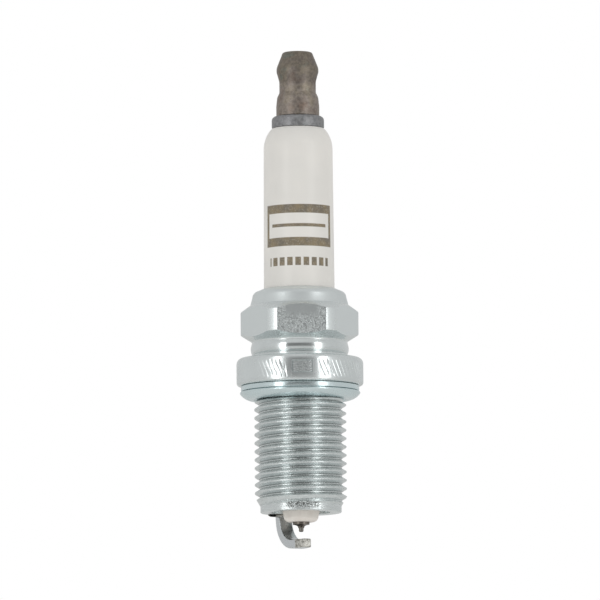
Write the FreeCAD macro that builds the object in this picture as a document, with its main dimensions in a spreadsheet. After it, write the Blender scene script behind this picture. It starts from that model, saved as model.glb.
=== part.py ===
import FreeCAD, Part
import math
import os

import Sketcher
from FreeCAD import Placement, Rotation, Vector

# Spark plug with an M14 x 1.25 thread of 19 mm reach, in millimetres.
# The axis is Z, with the terminal at the top. The origin is on the axis, at the shell's flange seat:
# the plane that the gasket bears on and that the reach is measured from.

SIZES = {
    # terminal nut: waisted head above a plain barrel, with a blind hole for the stud
    "nut_top": 50.2,
    "nut_top_radius": 1.95,
    "nut_top_round": 0.35,
    "nut_neck_radius": 2.3,
    "nut_bulb_radius": 3.0,
    "nut_bulb_top": 48.15,
    "nut_bulb_bottom": 46.75,
    "nut_bulb_round": 1.82,
    "nut_waist_radius": 2.73,
    "nut_waist_top": 45.75,
    "nut_waist_bottom": 44.2,
    "nut_skirt_radius": 3.05,
    "nut_skirt_top": 43.4,
    "nut_barrel_radius": 3.22,
    "nut_barrel_top": 42.0,
    "nut_hole_radius": 2.05,
    "nut_hole_end": 47.6,
    "nut_hole_point": 1.2,
    "nut_break": 0.12,
    # terminal stud: M4 top, collar, long shank and ribbed foot
    "stud_thread_radius": 2.0,
    "stud_top": 47.3,
    "stud_chamfer": 0.45,
    "collar_radius": 3.92,
    "collar_top": 40.5,
    "collar_round": 0.6,
    "collar_break": 0.2,
    "shank_radius": 1.85,
    "shank_bottom": 8.4,
    "rib_radius": 1.94,
    "rib_root_radius": 1.5,
    "rib_pitch": 0.9,
    "rib_land": 0.45,
    "rib_count": 3,
    # insulator: glazed barrel, hidden shoulder, body and nose, with a stepped bore
    "insulator_top": 38.65,
    "dome_radius": 4.0,
    "dome_round": 4.62,
    "barrel_top": 35.6,
    "barrel_top_radius": 5.15,
    "barrel_radius": 5.28,
    "barrel_bottom": 14.6,
    "shoulder_top": 7.82,
    "shoulder_radius": 5.9,
    "shoulder_high": 7.2,
    "shoulder_low": 1.8,
    "body_radius": 4.62,
    "body_top": 0.52,
    "step_top": -8.9,
    "nose_root_radius": 3.8,
    "nose_root": -9.72,
    "nose_radius": 2.85,
    "nose_shoulder": -18.5,
    "nose_end_radius": 2.6,
    "nose_end": -19.55,
    "nose_round": 0.86,
    "nose_flat_radius": 1.75,
    "nose_tip": -20.38,
    "bore_radius": 2.0,
    "bore_end": -7.6,
    "bore_seat_end": -8.3,
    "electrode_bore_radius": 1.3,
    # shell: crimped lip, hexagon, buckled neck, flange, undercut, thread and pilot
    "lip_radius": 5.35,
    "lip_top": 14.52,
    "lip_under": 13.75,
    "lip_slope_radius": 6.42,
    "lip_slope": 14.08,
    "lip_round": 0.95,
    "lip_side_radius": 7.02,
    "lip_side": 13.25,
    "hex_top_radius": 7.33,
    "hex_top": 12.05,
    "hex_corner_radius": 8.8,
    "hex_upper_chamfer": 11.06,
    "hex_lower_chamfer": 7.76,
    "hex_bottom": 6.56,
    "hex_flat_distance": 8.0,
    "hex_sides": 6,
    "neck_radius": 7.18,
    "buckle_top": 6.3,
    "buckle_bottom": 5.15,
    "buckle_round": 1.2,
    "buckle_relief": 0.24,
    "foot_ring_radius": 7.34,
    "foot_ring_top": 4.72,
    "flange_top": 4.2,
    "flange_radius": 9.46,
    "flange_upper_round": 1.0,
    "flange_break": 0.42,
    "flange_bottom": 0.0,
    "undercut_radius": 6.2,
    "undercut_bottom": -2.2,
    "thread_radius": 6.95,
    "thread_top": -2.75,
    "thread_bottom": -16.8,
    "pilot_radius": 6.05,
    "pilot_top": -17.7,
    "shell_end": -19.0,
    "shell_end_break": 0.12,
    "firing_bore_radius": 4.35,
    "ledge_bottom": -11.9,
    "ledge_low": -11.5,
    "ledge_radius": 3.95,
    "ledge_high": -9.924,
    "ledge_top": -9.154,
    "body_bore_radius": 4.72,
    "body_bore_top": 0.32,
    "main_bore_radius": 6.0,
    "main_bore_bottom": 1.6,
    "main_bore_top": 13.2,
    # seals between the shell and the insulator
    "packing_wire_radius": 0.35,
    "packing_wire_flat": 0.15,
    "packing_ring_radius": 5.64,
    "upper_packing_height": 12.95,
    "lower_packing_height": 8.05,
    "talc_inner_radius": 5.29,
    "talc_outer_radius": 5.99,
    "washer_inner_radius": 4.0,
    "washer_inner_height": -9.52,
    "washer_length": 0.5,
    "washer_offset": 0.177,
    # folded gasket, free to turn in the shell's undercut
    "gasket_top": -0.05,
    "gasket_inner_radius": 6.6,
    "gasket_rim_radius": 8.83,
    "gasket_sheet": 0.42,
    "gasket_rim_bottom": -0.78,
    "gasket_edge": 0.12,
    "gasket_seam_top": -0.94,
    "gasket_fold_wall": 0.45,
    "gasket_fold_edge": 0.18,
    "gasket_fold_radius": 8.98,
    "gasket_fold_round": 0.17,
    "gasket_fold_low": -1.2,
    "gasket_sole_radius": 7.25,
    "gasket_sole_inner_radius": 6.95,
    "gasket_sole_round": 2.05,
    "gasket_heel": 0.35,
    "gasket_bottom": -2.15,
    "gasket_web": 7.1,
    # glass seals and resistor in the insulator's bore
    "glass_radius": 1.99,
    "upper_glass_top": 8.8,
    "resistor_top": 4.3,
    "resistor_bottom": -4.2,
    "lower_glass_bottom": -7.55,
    # centre electrode, its copper core, the weld bead and the fine tip
    "electrode_top": -5.2,
    "electrode_head_radius": 1.25,
    "electrode_flange_top": -6.6,
    "electrode_flange_radius": 1.9,
    "electrode_seat_top": -7.69,
    "electrode_seat_bottom": -8.34,
    "electrode_radius": 1.25,
    "electrode_edge": -20.75,
    "electrode_end_radius": 0.45,
    "electrode_end": -21.1,
    "electrode_end_round": 0.95,
    "core_radius": 0.72,
    "core_bottom": -19.4,
    "bead_radius": 0.49,
    "bead_middle": -21.18,
    "bead_bottom": -21.28,
    "tip_radius": 0.36,
    "tip_end": -21.84,
    "tip_break": 0.08,
    # ground electrode: a strap welded to the shell's end face and bent over the tip
    "strap_azimuth": 118.0,
    "strap_centre": 5.2,
    "strap_thickness": 1.3,
    "strap_half_width": 1.1,
    "strap_lean": 8.0,
    "strap_bend": 3.9,
    "strap_middle": -23.6,
    "strap_past_axis": 1.9,
    "strap_end_half_width": 0.58,
    "weld_inner_radius": 4.37,
    "weld_outer_radius": 5.82,
    "weld_height": 0.3,
    "weld_bevel": 0.22,
    "weld_angle": 52.0,
}

doc = FreeCAD.newDocument("SparkPlug")
sheet = doc.addObject("Spreadsheet::Sheet", "Sizes")
for row, (alias, number) in enumerate(SIZES.items(), start=1):
    sheet.set(f"A{row}", alias)
    sheet.set(f"B{row}", str(number))
    sheet.setAlias(f"B{row}", alias)
doc.recompute()


def value(formula):
    """Work out a sum of sheet names and numbers, such as 'flange_top - flange_break'."""
    total = 0.0
    sign = 1
    for word in str(formula).split():
        if word in ("+", "-"):
            sign = 1 if word == "+" else -1
        else:
            total += sign * (SIZES[word] if word in SIZES else float(word))
    return total


def linked(formula):
    """The same sum, written for setExpression."""
    return " ".join(f"Sizes.{word}" if word in SIZES else word for word in str(formula).split())


def origin_plane(body, role):
    return next(item for item in body.Origin.OriginFeatures if item.Role == role)


def new_body(name):
    body = doc.addObject("PartDesign::Body", name)
    body.Label = name
    return body


def new_sketch(body, name, role="XZ_Plane"):
    sketch = body.newObject("Sketcher::SketchObject", name)
    sketch.AttachmentSupport = [(origin_plane(body, role), "")]
    sketch.MapMode = "FlatFace"
    return sketch


def fix_point(sketch, geometry, end, x_formula, y_formula):
    for direction, formula in (("DistanceX", x_formula), ("DistanceY", y_formula)):
        index = sketch.addConstraint(Sketcher.Constraint(direction, geometry, end, value(formula)))
        sketch.setExpression(f"Constraints[{index}]", linked(formula))


def draw_outline(sketch, corners):
    """Draw a closed outline from corners (x, y), or (x, y, radius, turn) where an arc leads to the corner.

    The turn is 1 where the arc bends to the left and -1 where it bends to the right.
    """
    count = len(corners)
    points = [Vector(value(corner[0]), value(corner[1]), 0) for corner in corners]
    ends = []
    for index, corner in enumerate(corners):
        start, finish = points[index - 1], points[index]
        if len(corner) == 2:
            geometry = sketch.addGeometry(Part.LineSegment(start, finish), False)
            ends.append((geometry, 1, 2))
            continue
        radius = value(corner[2])
        chord = finish - start
        left = Vector(-chord.y, chord.x, 0).normalize() * corner[3]
        height = math.sqrt(radius ** 2 - (chord.Length / 2) ** 2)
        middle = (start + finish) * 0.5 + left * (height - radius)
        arc = Part.Arc(start, middle, finish)
        geometry = sketch.addGeometry(arc, False)
        order = (1, 2) if corner[3] > 0 else (2, 1)
        ends.append((geometry, *order))
        index_radius = sketch.addConstraint(Sketcher.Constraint("Radius", geometry, radius))
        sketch.setExpression(f"Constraints[{index_radius}]", linked(corner[2]))
    for index, corner in enumerate(corners):
        geometry, _, finish_end = ends[index]
        following, start_end, _ = ends[(index + 1) % count]
        sketch.addConstraint(Sketcher.Constraint("Coincident", geometry, finish_end, following, start_end))
        fix_point(sketch, geometry, finish_end, corner[0], corner[1])


def turned(name, corners):
    """A body turned about Z from an outline of (radius, height) corners."""
    body = new_body(name)
    sketch = new_sketch(body, name + "_profile")
    draw_outline(sketch, corners)
    revolution = body.newObject("PartDesign::Revolution", name + "_turned")
    revolution.Profile = sketch
    revolution.ReferenceAxis = (sketch, ["V_Axis"])
    revolution.Angle = 360
    return body


def cylinder(name, radius, bottom, top):
    solid = doc.addObject("Part::Cylinder", name)
    solid.Label = name
    solid.setExpression("Radius", linked(radius))
    solid.setExpression("Height", linked(f"{top} - {bottom}"))
    solid.setExpression("Placement.Base.z", linked(bottom))
    return solid


def terminal_nut():
    return turned("terminal_nut", [
        ("0", "nut_hole_end + nut_hole_point"),
        ("0", "nut_top"),
        ("nut_top_radius", "nut_top"),
        ("nut_neck_radius", "nut_top - nut_top_round", "nut_top_round", -1),
        ("nut_bulb_radius", "nut_bulb_top"),
        ("nut_bulb_radius", "nut_bulb_bottom", "nut_bulb_round", -1),
        ("nut_waist_radius", "nut_waist_top"),
        ("nut_waist_radius", "nut_waist_bottom"),
        ("nut_skirt_radius", "nut_skirt_top"),
        ("nut_barrel_radius", "nut_barrel_top"),
        ("nut_barrel_radius", "collar_top + nut_break"),
        ("nut_barrel_radius - nut_break", "collar_top"),
        ("nut_hole_radius", "collar_top"),
        ("nut_hole_radius", "nut_hole_end"),
    ])


def terminal_stud():
    ribs = []
    for number in range(SIZES["rib_count"]):
        top = "shank_bottom" + " - rib_pitch" * number
        ribs += [
            ("rib_radius", top),
            ("rib_radius", f"{top} - rib_land"),
            ("rib_root_radius", f"{top} - rib_land"),
            ("rib_root_radius", f"{top} - rib_pitch"),
        ]
    stud_bottom = ribs[-1][1]
    return turned("terminal_stud", [
        ("0", "stud_top"),
        ("stud_thread_radius - stud_chamfer", "stud_top"),
        ("stud_thread_radius", "stud_top - stud_chamfer"),
        ("stud_thread_radius", "collar_top"),
        ("collar_radius - collar_round", "collar_top"),
        ("collar_radius", "collar_top - collar_round", "collar_round", -1),
        ("collar_radius", "insulator_top + collar_break"),
        ("collar_radius - collar_break", "insulator_top"),
        ("shank_radius", "insulator_top"),
        ("shank_radius", "shank_bottom"),
        *ribs,
        ("0", stud_bottom),
    ])


def insulator():
    return turned("insulator", [
        ("bore_radius", "insulator_top"),
        ("dome_radius", "insulator_top"),
        ("barrel_top_radius", "barrel_top", "dome_round", -1),
        ("barrel_radius", "barrel_bottom"),
        ("barrel_radius", "shoulder_top"),
        ("shoulder_radius", "shoulder_high"),
        ("shoulder_radius", "shoulder_low"),
        ("body_radius", "body_top"),
        ("body_radius", "step_top"),
        ("nose_root_radius", "nose_root"),
        ("nose_radius", "nose_shoulder"),
        ("nose_end_radius", "nose_end"),
        ("nose_flat_radius", "nose_tip", "nose_round", -1),
        ("electrode_bore_radius", "nose_tip"),
        ("electrode_bore_radius", "bore_seat_end"),
        ("bore_radius", "bore_end"),
    ])


def shell():
    """A turned blank with six flats milled round it between the crimped lip and the neck."""
    body = turned("shell", [
        ("lip_radius", "lip_under"),
        ("lip_radius", "lip_top"),
        ("lip_slope_radius", "lip_slope"),
        ("lip_side_radius", "lip_side", "lip_round", -1),
        ("hex_top_radius", "hex_top"),
        ("hex_corner_radius", "hex_upper_chamfer"),
        ("hex_corner_radius", "hex_lower_chamfer"),
        ("neck_radius", "hex_bottom"),
        ("neck_radius", "buckle_top"),
        ("neck_radius", "buckle_bottom", "buckle_round", -1),
        ("neck_radius", "foot_ring_top"),
        ("foot_ring_radius", "foot_ring_top"),
        ("foot_ring_radius", "flange_top"),
        ("flange_radius - flange_upper_round", "flange_top"),
        ("flange_radius", "flange_top - flange_upper_round", "flange_upper_round", -1),
        ("flange_radius", "flange_bottom + flange_break"),
        ("flange_radius - flange_break", "flange_bottom"),
        ("undercut_radius", "flange_bottom"),
        ("undercut_radius", "undercut_bottom"),
        ("thread_radius", "thread_top"),
        ("thread_radius", "thread_bottom"),
        ("pilot_radius", "pilot_top"),
        ("pilot_radius", "shell_end + shell_end_break"),
        ("pilot_radius - shell_end_break", "shell_end"),
        ("firing_bore_radius", "shell_end"),
        ("firing_bore_radius", "ledge_bottom"),
        ("ledge_radius", "ledge_low"),
        ("ledge_radius", "ledge_high"),
        ("body_bore_radius", "ledge_top"),
        ("body_bore_radius", "body_bore_top"),
        ("main_bore_radius", "main_bore_bottom"),
        ("main_bore_radius", "buckle_bottom"),
        ("main_bore_radius + buckle_relief", "buckle_bottom + buckle_relief"),
        ("main_bore_radius + buckle_relief", "buckle_top - buckle_relief"),
        ("main_bore_radius", "buckle_top"),
        ("main_bore_radius", "main_bore_top"),
    ])
    flat = new_sketch(body, "hex_flat_outline", "XY_Plane")
    flat.setExpression("AttachmentOffset.Base.z", linked("hex_bottom"))
    draw_outline(flat, [
        ("0 - flange_radius", "0 - hex_flat_distance"),
        ("0 - flange_radius", "0 - flange_radius - hex_flat_distance"),
        ("flange_radius", "0 - flange_radius - hex_flat_distance"),
        ("flange_radius", "0 - hex_flat_distance"),
    ])
    cut = body.newObject("PartDesign::Pocket", "hex_flat")
    cut.Profile = flat
    cut.Reversed = True
    cut.setExpression("Length", linked("hex_top - hex_bottom"))
    doc.recompute()
    blank_volume = cut.BaseFeature.Shape.Volume
    flats = body.newObject("PartDesign::PolarPattern", "hex_flats")
    flats.Originals = [cut]
    flats.Axis = (flat, ["N_Axis"])
    flats.Angle = 360
    flats.setExpression("Occurrences", linked("hex_sides"))
    body.Tip = flats
    doc.recompute()
    first_flat = blank_volume - cut.Shape.Volume
    all_flats = blank_volume - flats.Shape.Volume
    if first_flat <= 0 or abs(all_flats - SIZES["hex_sides"] * first_flat) > 0.01 * all_flats:
        raise RuntimeError(f"the hexagon's flats removed {all_flats:.2f}, and one flat {first_flat:.2f}")
    return body


def gasket():
    """A ring folded from sheet: a flat rim on top and a rounded sole below, with the seam open outwards."""
    sheet_top = "gasket_rim_bottom"
    return turned("gasket", [
        ("gasket_inner_radius", "gasket_top"),
        ("gasket_rim_radius - gasket_edge", "gasket_top"),
        ("gasket_rim_radius", "gasket_top - gasket_edge"),
        ("gasket_rim_radius", f"{sheet_top} + gasket_edge"),
        ("gasket_rim_radius - gasket_edge", sheet_top),
        ("gasket_web", sheet_top),
        ("gasket_web", "gasket_bottom + gasket_sheet"),
        ("gasket_sole_radius", "gasket_bottom + gasket_sheet"),
        ("gasket_fold_radius - gasket_fold_wall", "gasket_seam_top - gasket_sheet"),
        ("gasket_fold_radius - gasket_fold_wall", "gasket_seam_top"),
        ("gasket_fold_radius - gasket_fold_edge", "gasket_seam_top"),
        ("gasket_fold_radius", "gasket_fold_low", "gasket_fold_round", -1),
        ("gasket_sole_radius", "gasket_bottom", "gasket_sole_round", -1),
        ("gasket_sole_inner_radius", "gasket_bottom"),
        ("gasket_inner_radius", "gasket_bottom + gasket_heel"),
    ])


def packing_ring(name, height):
    """A ring of round wire that the crimping has squeezed to eight flats."""
    wire, flat = "packing_wire_radius", "packing_wire_flat"
    section = [
        (f"+ {wire}", f"+ {flat}"),
        (f"+ {flat}", f"+ {wire}"),
        (f"- {flat}", f"+ {wire}"),
        (f"- {wire}", f"+ {flat}"),
        (f"- {wire}", f"- {flat}"),
        (f"- {flat}", f"- {wire}"),
        (f"+ {flat}", f"- {wire}"),
        (f"+ {wire}", f"- {flat}"),
    ]
    return turned(name, [(f"packing_ring_radius {out}", f"{height} {up}") for out, up in section])


def talc_packing():
    top = "upper_packing_height - packing_wire_radius"
    bottom = "lower_packing_height + packing_wire_radius"
    return turned("talc_packing", [
        ("talc_inner_radius", bottom),
        ("talc_inner_radius", top),
        ("talc_outer_radius", top),
        ("talc_outer_radius", bottom),
    ])


def inner_seat_washer():
    """A coned washer squeezed between the insulator's step and the shell's ledge."""
    return turned("inner_seat_washer", [
        ("washer_inner_radius", "washer_inner_height"),
        ("washer_inner_radius + washer_length", "washer_inner_height + washer_length"),
        ("washer_inner_radius + washer_length + washer_offset",
         "washer_inner_height + washer_length - washer_offset"),
        ("washer_inner_radius + washer_offset", "washer_inner_height - washer_offset"),
    ])


def glass_seal(name, bottom, top, embedded):
    """Glass that fills the insulator's bore round the end of a metal piece."""
    seal = doc.addObject("Part::Cut", name)
    seal.Label = name
    seal.Base = cylinder(name + "_fill", "glass_radius", bottom, top)
    seal.Tool = embedded
    return seal


def centre_electrode():
    """A nickel rod with a head that rests on the bore's seat, open at the top for its copper core."""
    return turned("centre_electrode", [
        ("core_radius", "electrode_top"),
        ("electrode_head_radius", "electrode_top"),
        ("electrode_head_radius", "electrode_flange_top"),
        ("electrode_flange_radius", "electrode_flange_top"),
        ("electrode_flange_radius", "electrode_seat_top"),
        ("electrode_radius", "electrode_seat_bottom"),
        ("electrode_radius", "electrode_edge"),
        ("electrode_end_radius", "electrode_end", "electrode_end_round", 1),
        ("0", "electrode_end"),
        ("0", "core_bottom"),
        ("core_radius", "core_bottom"),
    ])


def tip_weld():
    return turned("tip_weld", [
        ("0", "electrode_end"),
        ("electrode_end_radius", "electrode_end"),
        ("bead_radius", "bead_middle"),
        ("tip_radius", "bead_bottom"),
        ("0", "bead_bottom"),
    ])


def iridium_tip():
    return turned("iridium_tip", [
        ("0", "bead_bottom"),
        ("tip_radius", "bead_bottom"),
        ("tip_radius", "tip_end + tip_break"),
        ("tip_radius - tip_break", "tip_end"),
        ("0", "tip_end"),
    ])


def draw_strap(sketch):
    """The strap seen from its side, held by tangents, concentric bends and a leaning leg.

    It starts on the shell's end face, leans inwards, bends through one arc and then runs level below the
    tip and past the axis.
    """
    lean = math.radians(value("strap_lean"))
    half = value("strap_thickness") / 2
    bend = value("strap_bend")
    foot = value("strap_centre")
    top, level, end = value("shell_end"), value("strap_middle"), -value("strap_past_axis")
    tangent = bend * math.tan((math.pi / 2 - lean) / 2)
    corner = foot - (top - level) * math.tan(lean)
    centre = Vector(corner - tangent, level + bend, 0)
    outwards = Vector(math.cos(lean), -math.sin(lean), 0)
    slant = half / math.cos(lean)

    def bend_arc(radius):
        middle = outwards + Vector(0, -1, 0)
        return Part.Arc(centre + Vector(0, -radius, 0), centre + middle.normalize() * radius, centre + outwards * radius)

    outer, inner = bend_arc(bend + half), bend_arc(bend - half)
    outer_end, inner_end = Vector(end, level - half, 0), Vector(end, level + half, 0)
    outer_foot, inner_foot = Vector(foot + slant, top, 0), Vector(foot - slant, top, 0)
    face = sketch.addGeometry(Part.LineSegment(inner_foot, outer_foot), False)
    outer_leg = sketch.addGeometry(Part.LineSegment(outer_foot, outer.EndPoint), False)
    outer_bend = sketch.addGeometry(outer, False)
    underside = sketch.addGeometry(Part.LineSegment(outer.StartPoint, outer_end), False)
    tip = sketch.addGeometry(Part.LineSegment(outer_end, inner_end), False)
    upper_side = sketch.addGeometry(Part.LineSegment(inner_end, inner.StartPoint), False)
    inner_bend = sketch.addGeometry(inner, False)
    inner_leg = sketch.addGeometry(Part.LineSegment(inner.EndPoint, inner_foot), False)
    for relation in (
        ("Coincident", face, 2, outer_leg, 1),
        ("Tangent", outer_leg, 2, outer_bend, 2),
        ("Tangent", outer_bend, 1, underside, 1),
        ("Coincident", underside, 2, tip, 1),
        ("Coincident", tip, 2, upper_side, 1),
        ("Tangent", upper_side, 2, inner_bend, 1),
        ("Tangent", inner_bend, 2, inner_leg, 1),
        ("Coincident", inner_leg, 2, face, 1),
        ("Coincident", outer_bend, 3, inner_bend, 3),
        ("Horizontal", face),
        ("Horizontal", underside),
        ("Vertical", tip),
    ):
        sketch.addConstraint(Sketcher.Constraint(*relation))
    for kind, places, number, formula in (
        ("Radius", (outer_bend,), bend + half, "Sizes.strap_bend + Sizes.strap_thickness / 2"),
        ("Radius", (inner_bend,), bend - half, "Sizes.strap_bend - Sizes.strap_thickness / 2"),
        ("DistanceX", (tip, 1), end, "-Sizes.strap_past_axis"),
        ("DistanceY", (tip, 1), level - half, "Sizes.strap_middle - Sizes.strap_thickness / 2"),
        ("DistanceY", (face, 1), top, "Sizes.shell_end"),
        ("DistanceX", (face, 1), foot - slant,
         "Sizes.strap_centre - Sizes.strap_thickness / 2 / cos(Sizes.strap_lean * 1deg)"),
        ("DistanceX", (face, 2), foot + slant,
         "Sizes.strap_centre + Sizes.strap_thickness / 2 / cos(Sizes.strap_lean * 1deg)"),
    ):
        index = sketch.addConstraint(Sketcher.Constraint(kind, *places, number))
        sketch.setExpression(f"Constraints[{index}]", formula)


def turn_to_strap(body):
    """The strap and its weld are drawn towards +X and then turned about Z to the strap's azimuth."""
    body.Placement = Placement(Vector(0, 0, 0), Rotation(Vector(0, 0, 1), value("strap_azimuth")))
    body.setExpression("Placement.Rotation.Angle", "Sizes.strap_azimuth * 1deg")


def ground_electrode():
    """The strap is padded from its side view and both flanks of its end are trimmed to a taper."""
    body = new_body("ground_electrode")
    side_view = new_sketch(body, "strap_side_view")
    draw_strap(side_view)
    strap = body.newObject("PartDesign::Pad", "strap")
    strap.Profile = side_view
    strap.Midplane = True
    strap.setExpression("Length", "2 * Sizes.strap_half_width")
    doc.recompute()
    full_volume = strap.Shape.Volume
    trim_outline = new_sketch(body, "strap_trim_outline", "XY_Plane")
    trim_outline.setExpression("AttachmentOffset.Base.z", linked("strap_middle - strap_thickness"))
    for flank in ("0 +", "0 -"):
        draw_outline(trim_outline, [
            ("0", f"{flank} strap_half_width"),
            ("0 - strap_past_axis", f"{flank} strap_end_half_width"),
            ("0 - strap_past_axis", f"{flank} strap_half_width"),
        ])
    trim = body.newObject("PartDesign::Pocket", "strap_trim")
    trim.Profile = trim_outline
    trim.Reversed = True
    trim.setExpression("Length", "2 * Sizes.strap_thickness")
    turn_to_strap(body)
    doc.recompute()
    removed = full_volume - trim.Shape.Volume
    expected = value("strap_past_axis") * value("strap_thickness") * value("strap_half_width - strap_end_half_width")
    if abs(removed - expected) > 0.01:
        raise RuntimeError(f"strap_trim removed {removed:.3f} instead of {expected:.3f}")
    return body


def ground_weld(strap):
    """The flash that the strap's weld squeezes out along the shell's end face."""
    body = new_body("weld_flash")
    sketch = new_sketch(body, "weld_section")
    draw_outline(sketch, [
        ("weld_inner_radius", "shell_end"),
        ("weld_inner_radius", "shell_end - weld_height"),
        ("weld_outer_radius - weld_bevel", "shell_end - weld_height"),
        ("weld_outer_radius", "shell_end"),
    ])
    flash = body.newObject("PartDesign::Revolution", "weld_flash_turned")
    flash.Profile = sketch
    flash.ReferenceAxis = (sketch, ["V_Axis"])
    flash.Midplane = True
    flash.setExpression("Angle", linked("weld_angle"))
    turn_to_strap(body)
    weld = doc.addObject("Part::Cut", "ground_weld")
    weld.Label = "ground_weld"
    weld.Base = body
    weld.Tool = strap
    return weld


def build_plug():
    """Every piece of the plug, from the terminal to the firing end."""
    stud = terminal_stud()
    electrode = centre_electrode()
    core = cylinder("electrode_core", "core_radius", "core_bottom", "electrode_top")
    cored_electrode = doc.addObject("Part::Fuse", "cored_electrode")
    cored_electrode.Base = electrode
    cored_electrode.Tool = core
    strap = ground_electrode()
    return [
        terminal_nut(),
        stud,
        insulator(),
        shell(),
        gasket(),
        packing_ring("upper_packing_ring", "upper_packing_height"),
        talc_packing(),
        packing_ring("lower_packing_ring", "lower_packing_height"),
        inner_seat_washer(),
        glass_seal("upper_glass_seal", "resistor_top", "upper_glass_top", stud),
        cylinder("resistor", "glass_radius", "resistor_bottom", "resistor_top"),
        glass_seal("lower_glass_seal", "lower_glass_bottom", "resistor_bottom", cored_electrode),
        electrode,
        core,
        tip_weld(),
        iridium_tip(),
        strap,
        ground_weld(strap),
    ]


pieces = build_plug()
doc.recompute()
for item in doc.Objects:
    if "Invalid" in item.State or "Error" in item.State:
        raise RuntimeError(f"{item.Name} failed: {item.State}")
for piece in pieces:
    if piece.Shape.isNull() or not piece.Shape.isValid():
        raise RuntimeError(f"{piece.Label} has no valid shape")
    if len(piece.Shape.Solids) != 1:
        raise RuntimeError(f"{piece.Label} has {len(piece.Shape.Solids)} solids")

os.makedirs("parts", exist_ok=True)
for piece in pieces:
    piece.Shape.exportStep(f"parts/{piece.Label}.step")
    box = piece.Shape.BoundBox
    print(f"{piece.Label}: z {box.ZMin:.2f} to {box.ZMax:.2f}, {piece.Shape.Volume:.1f} mm3")
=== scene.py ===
"""A spark plug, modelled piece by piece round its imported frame, with its finishes, studio and camera."""

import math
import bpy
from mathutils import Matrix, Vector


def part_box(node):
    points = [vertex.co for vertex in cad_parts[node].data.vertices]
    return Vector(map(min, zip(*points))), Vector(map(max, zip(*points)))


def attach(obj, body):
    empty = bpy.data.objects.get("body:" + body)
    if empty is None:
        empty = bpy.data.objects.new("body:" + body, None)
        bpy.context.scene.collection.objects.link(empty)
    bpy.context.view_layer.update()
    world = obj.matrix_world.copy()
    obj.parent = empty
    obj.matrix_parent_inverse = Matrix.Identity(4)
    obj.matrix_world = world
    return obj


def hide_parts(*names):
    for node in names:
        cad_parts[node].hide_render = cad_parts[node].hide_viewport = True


bl_info = {
    "name": "Spark plug",
    "version": (1, 0, 0),
    "blender": (4, 5, 0),
    "location": "View3D > Sidebar > Spark plug",
    "description": "Models a long-reach spark plug round its packed frame",
    "category": "Add Mesh",
}

import bmesh
import bpy
from bpy.props import FloatProperty, FloatVectorProperty, IntProperty, PointerProperty
from mathutils import Matrix, Quaternion, Vector

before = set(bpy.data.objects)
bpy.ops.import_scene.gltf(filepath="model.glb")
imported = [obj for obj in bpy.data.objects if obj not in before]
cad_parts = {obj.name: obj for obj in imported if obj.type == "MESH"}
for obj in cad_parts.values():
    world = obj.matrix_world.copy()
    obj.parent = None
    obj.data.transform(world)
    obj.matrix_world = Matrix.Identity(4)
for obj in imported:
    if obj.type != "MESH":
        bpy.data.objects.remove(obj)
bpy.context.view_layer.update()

MM = 0.001
FULL_TURN = 2 * math.pi
UP = Vector((0, 0, 1))
MERGE_DISTANCE = 0.0005 * MM
CREASE_ANGLE = math.radians(19)
THREAD_DEPTH = 0.6  # crest to root, in pitches
SHELL_CREST_RADIUS = 6.87  # millimetres


def top_of(node):
    """A CAD node's highest point on the axis, in millimetres above the flange seat."""
    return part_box(node)[1][2] / MM


def bottom_of(node):
    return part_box(node)[0][2] / MM


def colour(hex_code):
    """An sRGB hex colour as linear red, green, blue and alpha."""
    channels = [int(hex_code[place:place + 2], 16) / 255 for place in (0, 2, 4)]
    return tuple(c / 12.92 if c <= 0.04045 else ((c + 0.055) / 1.055) ** 2.4 for c in channels) + (1.0,)


# ---------------------------------------------------------------- sizes and colours that a user may change


def length(name, description, value, low, high):
    """A length that a user may change, given in millimetres."""
    return FloatProperty(name=name, description=description, default=value * MM, min=low * MM, max=high * MM,
                         precision=5, unit="LENGTH")


def colour_choice(name, description, hex_code):
    return FloatVectorProperty(name=name, description=description, subtype="COLOR", size=4, min=0, max=1,
                               default=colour(hex_code))


class ThreadSizes(bpy.types.PropertyGroup):
    shell_pitch: length("Shell thread pitch", "Rise of the M14 thread in one turn", 1.25, 0.5, 2)
    stud_pitch: length("Stud thread pitch", "Rise of the M4 thread in one turn", 0.7, 0.3, 1)
    crest_height: length(
        "Crest height", "Height above the seat of the shell thread's crest at +X", -16.68, -18, -15)


class ShellSizes(bpy.types.PropertyGroup):
    across_flats: length("Across flats", "Width of the wrench hexagon between opposite flats", 16, 14, 21)
    serrations: IntProperty(
        name="Serrations", description="Number of slanted grooves rolled round the flange's rim",
        default=82, min=12, max=120)
    serration_slant: FloatProperty(
        name="Serration slant", description="Angle between a rim groove and the plug's axis",
        default=math.radians(24), min=0, max=math.radians(60), subtype="ANGLE")
    serration_depth: length("Serration depth", "Depth of a rim groove", 0.05, 0.01, 0.3)


class PrintSizes(bpy.types.PropertyGroup):
    width: length("Print width", "Width of the printed panel, measured round the insulator", 11.6, 2, 16)
    height: length("Print height", "Height of the printed panel", 6.25, 1, 12)
    middle: length(
        "Print middle", "Height of the printed panel's middle above the flange seat", 23.62, 18, 32)


class PlugColours(bpy.types.PropertyGroup):
    plating: colour_choice("Zinc plating", "Colour of the shell's bright zinc plating", "E3E9E9")
    gasket: colour_choice("Gasket plating", "Colour of the gasket's bluish plating", "D9E7E9")
    terminal: colour_choice("Terminal steel", "Colour of the browned terminal steel", "857D76")
    glaze: colour_choice("Glazed alumina", "Colour of the insulator's glaze", "F7F4EE")
    print_ink: colour_choice("Fired ink", "Colour of the mark fired onto the insulator", "93856A")
    nickel: colour_choice("Nickel alloy", "Colour of the ground strap's nickel alloy", "D3D7D9")


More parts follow.
